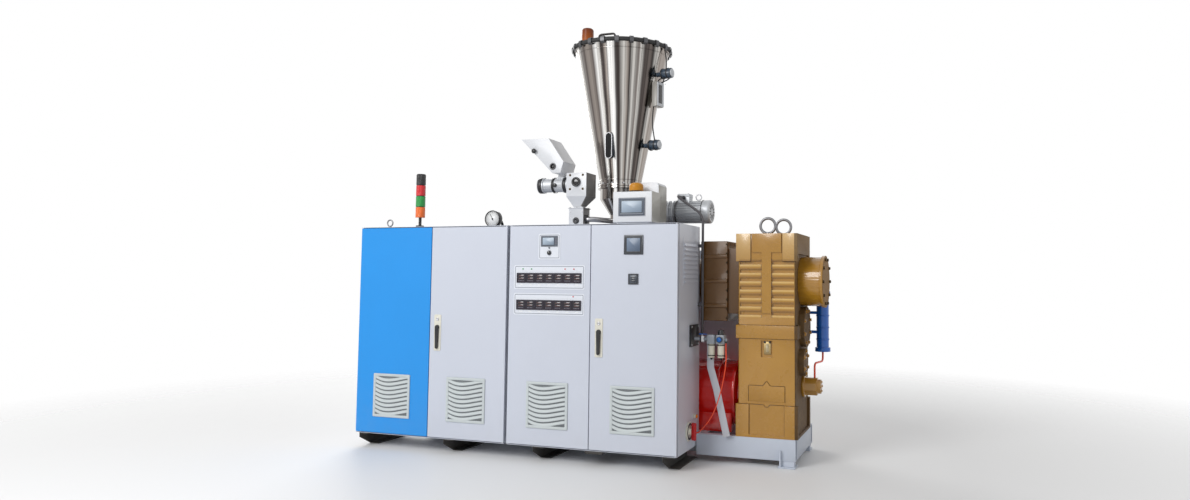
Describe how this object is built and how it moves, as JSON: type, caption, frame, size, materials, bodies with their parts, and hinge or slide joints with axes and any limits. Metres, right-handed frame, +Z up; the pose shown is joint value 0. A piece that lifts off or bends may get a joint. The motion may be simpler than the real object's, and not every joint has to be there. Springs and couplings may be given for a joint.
{
  "type": "plastic extruder",
  "caption": "Conical twin-screw plastic extruder with a switch cabinet, cone hopper, side doser, ribbed gearbox, drive motor and heated barrel on a base frame.",
  "frame": {"origin": "on the floor, in the middle of the machine's length and depth", "axes": "+Z up; the doors face -Y; the plastic leaves along -X, from the die flange on the left"},
  "size_m": [3.455, 1.1376, 3.249],
  "materials": {
    "cabinet_grey": "light blue-grey powder coat",
    "door_blue": "bright blue powder coat",
    "pivot_steel": "turned steel",
    "bearer_black": "black paint",
    "plate_zinc": "zinc plated",
    "grille_plastic": "moulded light grey",
    "lock_cream": "pale moulded",
    "black_plastic": "black moulded",
    "instrument_grey": "dark instrument faces on pale panels",
    "switch_pale": "pale moulded",
    "switch_red": "red moulded",
    "tower_lamps": "stacked lamp lenses",
    "eye_steel": "plated steel",
    "frame_grey": "light grey enamel",
    "gear_gold": "glossy ochre gold enamel",
    "motor_red": "glossy deep red enamel",
    "cooler_blue": "blue enamel",
    "pipe_red": "red tube",
    "barrel_steel": "machined steel",
    "heater_aluminium": "cast aluminium",
    "gauge_black": "black rim, white dial",
    "stainless": "polished stainless",
    "sensor_dark": "dark blue heads",
    "feeder_motor_grey": "silver grey enamel",
    "beacon_amber": "amber dome",
    "box_white": "off-white powder coat",
    "doser_motor_steel": "steel with dark caps",
    "pipe_dark": "dark steel",
    "air_grey": "grey body, cream bowls",
    "conduit_black": "corrugated black"
  },
  "bodies": {
    "machine": {"air_strut": "frame_grey", "air_tube": "pipe_red", "air_unit": "air_grey", "barrel": "barrel_steel", "barrel_heaters": "heater_aluminium", "barrel_stands": "frame_grey", "base_cross_rails": "frame_grey", "base_feet": "frame_grey", "base_rails": "frame_grey", "beacons": "beacon_amber", "cabinet_backs": "cabinet_grey", "cabinet_bearers": "bearer_black", "cabinet_floors": "cabinet_grey", "cabinet_roofs": "cabinet_grey", "cabinet_sides": "cabinet_grey", "die_flange": "barrel_steel", "distribution_box": "gear_gold", "door_pivots": "pivot_steel", "doser_body": "box_white", "doser_hopper": "box_white", "doser_motor": "doser_motor_steel", "doser_pipe": "pipe_dark", "drive_motor": "motor_red", "feeder_box": "box_white", "feeder_gearmotor": "feeder_motor_grey", "feeder_throat": "stainless", "gearbox_casing": "gear_gold", "gearbox_cover": "gear_gold", "guard_posts": "frame_grey", "hopper": "stainless", "hopper_fittings": "sensor_dark", "hopper_lid": "stainless", "lifting_eyes": "eye_steel", "main_switch": "switch_pale", "mounting_plates": "plate_zinc", "oil_cooler": "cooler_blue", "oil_pipe": "pipe_red", "oil_pump": "gear_gold", "rear_guard": "frame_grey", "side_conduit": "conduit_black", "side_louvre": "cabinet_grey", "signal_tower": "tower_lamps", "vacuum_gauge": "gauge_black"},
    "door_1": {"door_1_blue": "door_blue", "grille_1": "grille_plastic"},
    "door_2": {"door_2": "cabinet_grey", "grille_2": "grille_plastic", "lock_plate_2": "lock_cream"},
    "door_3": {"door_3_controls": "cabinet_grey", "grille_3": "grille_plastic", "heat_controllers": "instrument_grey", "speed_panel": "instrument_grey"},
    "door_4": {"door_4": "cabinet_grey", "grille_4": "grille_plastic", "lock_plate_4": "lock_cream", "door_instruments": "instrument_grey"},
    "lever_2": {"lock_lever_2": "black_plastic"},
    "lever_4": {"lock_lever_4": "black_plastic"},
    "selector": {"speed_selector": "black_plastic"},
    "switch_lever": {"main_switch_lever": "switch_red"}
  },
  "joints": [
    {"name": "door_1_hinge", "type": "hinge", "parent": "machine", "child": "door_1", "pos_m": [-1.7165, -0.54175, 0.8765], "axis": [0, 0, -1], "range_deg": [0, 110]},
    {"name": "door_2_hinge", "type": "hinge", "parent": "machine", "child": "door_2", "pos_m": [-0.4685, -0.54175, 0.8765], "axis": [0, 0, 1], "range_deg": [0, 90]},
    {"name": "door_3_hinge", "type": "hinge", "parent": "machine", "child": "door_3", "pos_m": [-0.4265, -0.54175, 0.8765], "axis": [0, 0, -1], "range_deg": [0, 90]},
    {"name": "door_4_hinge", "type": "hinge", "parent": "machine", "child": "door_4", "pos_m": [0.8215, -0.54175, 0.8765], "axis": [0, 0, 1], "range_deg": [0, 110]},
    {"name": "lock_2_turn", "type": "hinge", "parent": "door_2", "child": "lever_2", "pos_m": [-1.0235, -0.55475, 0.908], "axis": [0, -1, 0], "range_deg": [0, 90]},
    {"name": "lock_4_turn", "type": "hinge", "parent": "door_4", "child": "lever_4", "pos_m": [0.2665, -0.55475, 0.908], "axis": [0, -1, 0], "range_deg": [0, 90]},
    {"name": "selector_turn", "type": "hinge", "parent": "door_3", "child": "selector", "pos_m": [-0.1205, -0.55575, 1.451], "axis": [0, -1, 0], "range_deg": [0, 90]},
    {"name": "main_switch_turn", "type": "hinge", "parent": "machine", "child": "switch_lever", "pos_m": [0.8588, -0.30075, 0.232], "axis": [1, 0, 0], "range_deg": [0, 90]}
  ]
}
